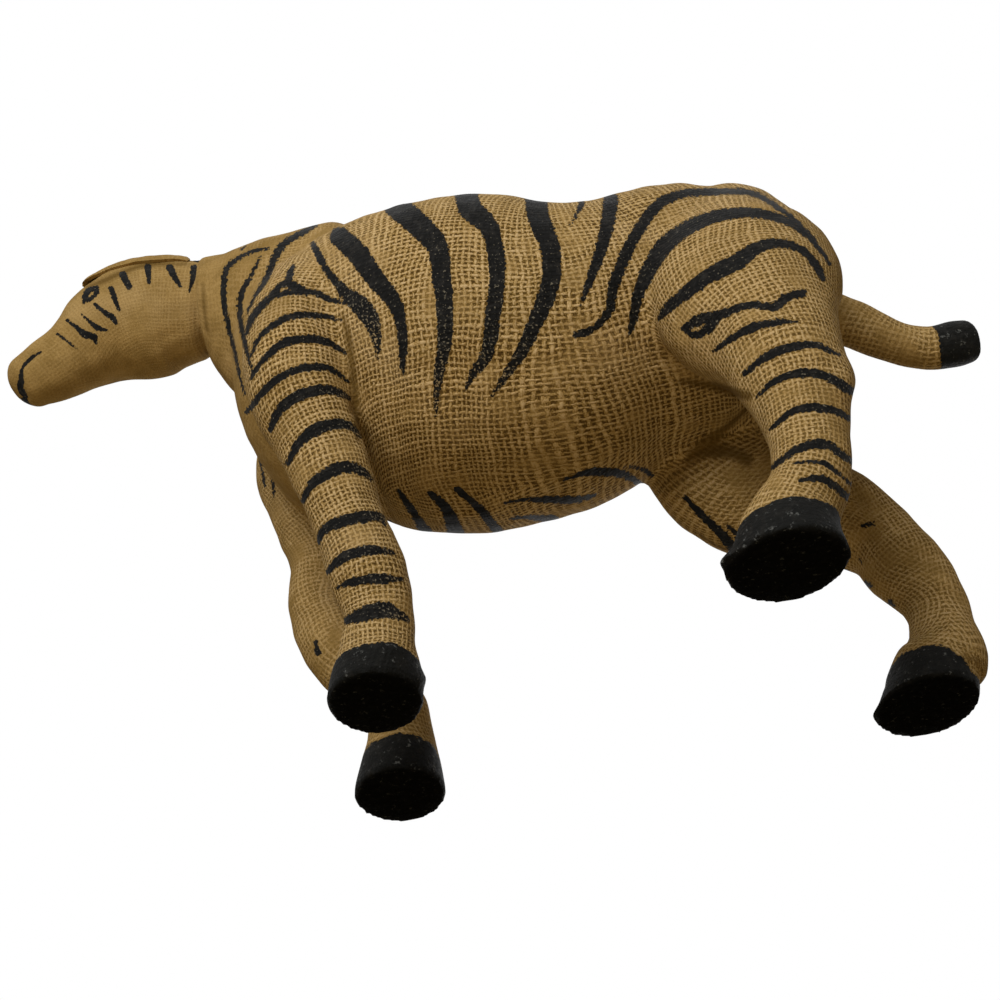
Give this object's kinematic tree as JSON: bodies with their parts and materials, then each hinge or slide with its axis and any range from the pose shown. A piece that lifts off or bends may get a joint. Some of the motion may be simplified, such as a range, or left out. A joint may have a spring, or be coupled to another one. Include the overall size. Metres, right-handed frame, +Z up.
{
  "type": "fabric zebra figurine",
  "caption": "Stiff standing zebra figurine: paper cores wrapped in jute cloth over bent wire, with painted black stripes, hooves and tail tip",
  "frame": {"origin": "middle of the standing figurine's box, at floor height under the soles", "axes": "+Z up, the head looks along -X and the tail points along +X, the figurine's left flank faces -Y"},
  "size_m": [0.3926, 0.1386, 0.2626],
  "materials": {
    "jute_cloth": "open plain-weave jute, matte, with painted black stripes",
    "head_cloth": "finer, smoother jute, matte",
    "black_paint": "jute thickly coated in matte black paint",
    "paper_core": "pressed paper pulp",
    "wire": "plain drawn wire"
  },
  "bodies": {
    "root": {"torso_cover": "jute_cloth", "torso_core": "paper_core", "back_wire": "wire", "neck_cover": "jute_cloth", "neck_core": "paper_core", "head_cover": "head_cloth", "head_core": "paper_core", "mane_strip": "jute_cloth", "left_ear": "head_cloth", "right_ear": "head_cloth", "tail_cover": "jute_cloth", "tail_tip": "black_paint", "tail_core": "paper_core", "front_left_leg_cover": "jute_cloth", "front_left_leg_core": "paper_core", "front_left_leg_wire": "wire", "front_left_hoof": "black_paint", "front_left_sole": "black_paint", "front_right_leg_cover": "jute_cloth", "front_right_leg_core": "paper_core", "front_right_leg_wire": "wire", "front_right_hoof": "black_paint", "front_right_sole": "black_paint", "hind_left_leg_cover": "jute_cloth", "hind_left_leg_core": "paper_core", "hind_left_leg_wire": "wire", "hind_left_hoof": "black_paint", "hind_left_sole": "black_paint", "hind_right_leg_cover": "jute_cloth", "hind_right_leg_core": "paper_core", "hind_right_leg_wire": "wire", "hind_right_hoof": "black_paint", "hind_right_sole": "black_paint"}
  },
  "joints": []
}
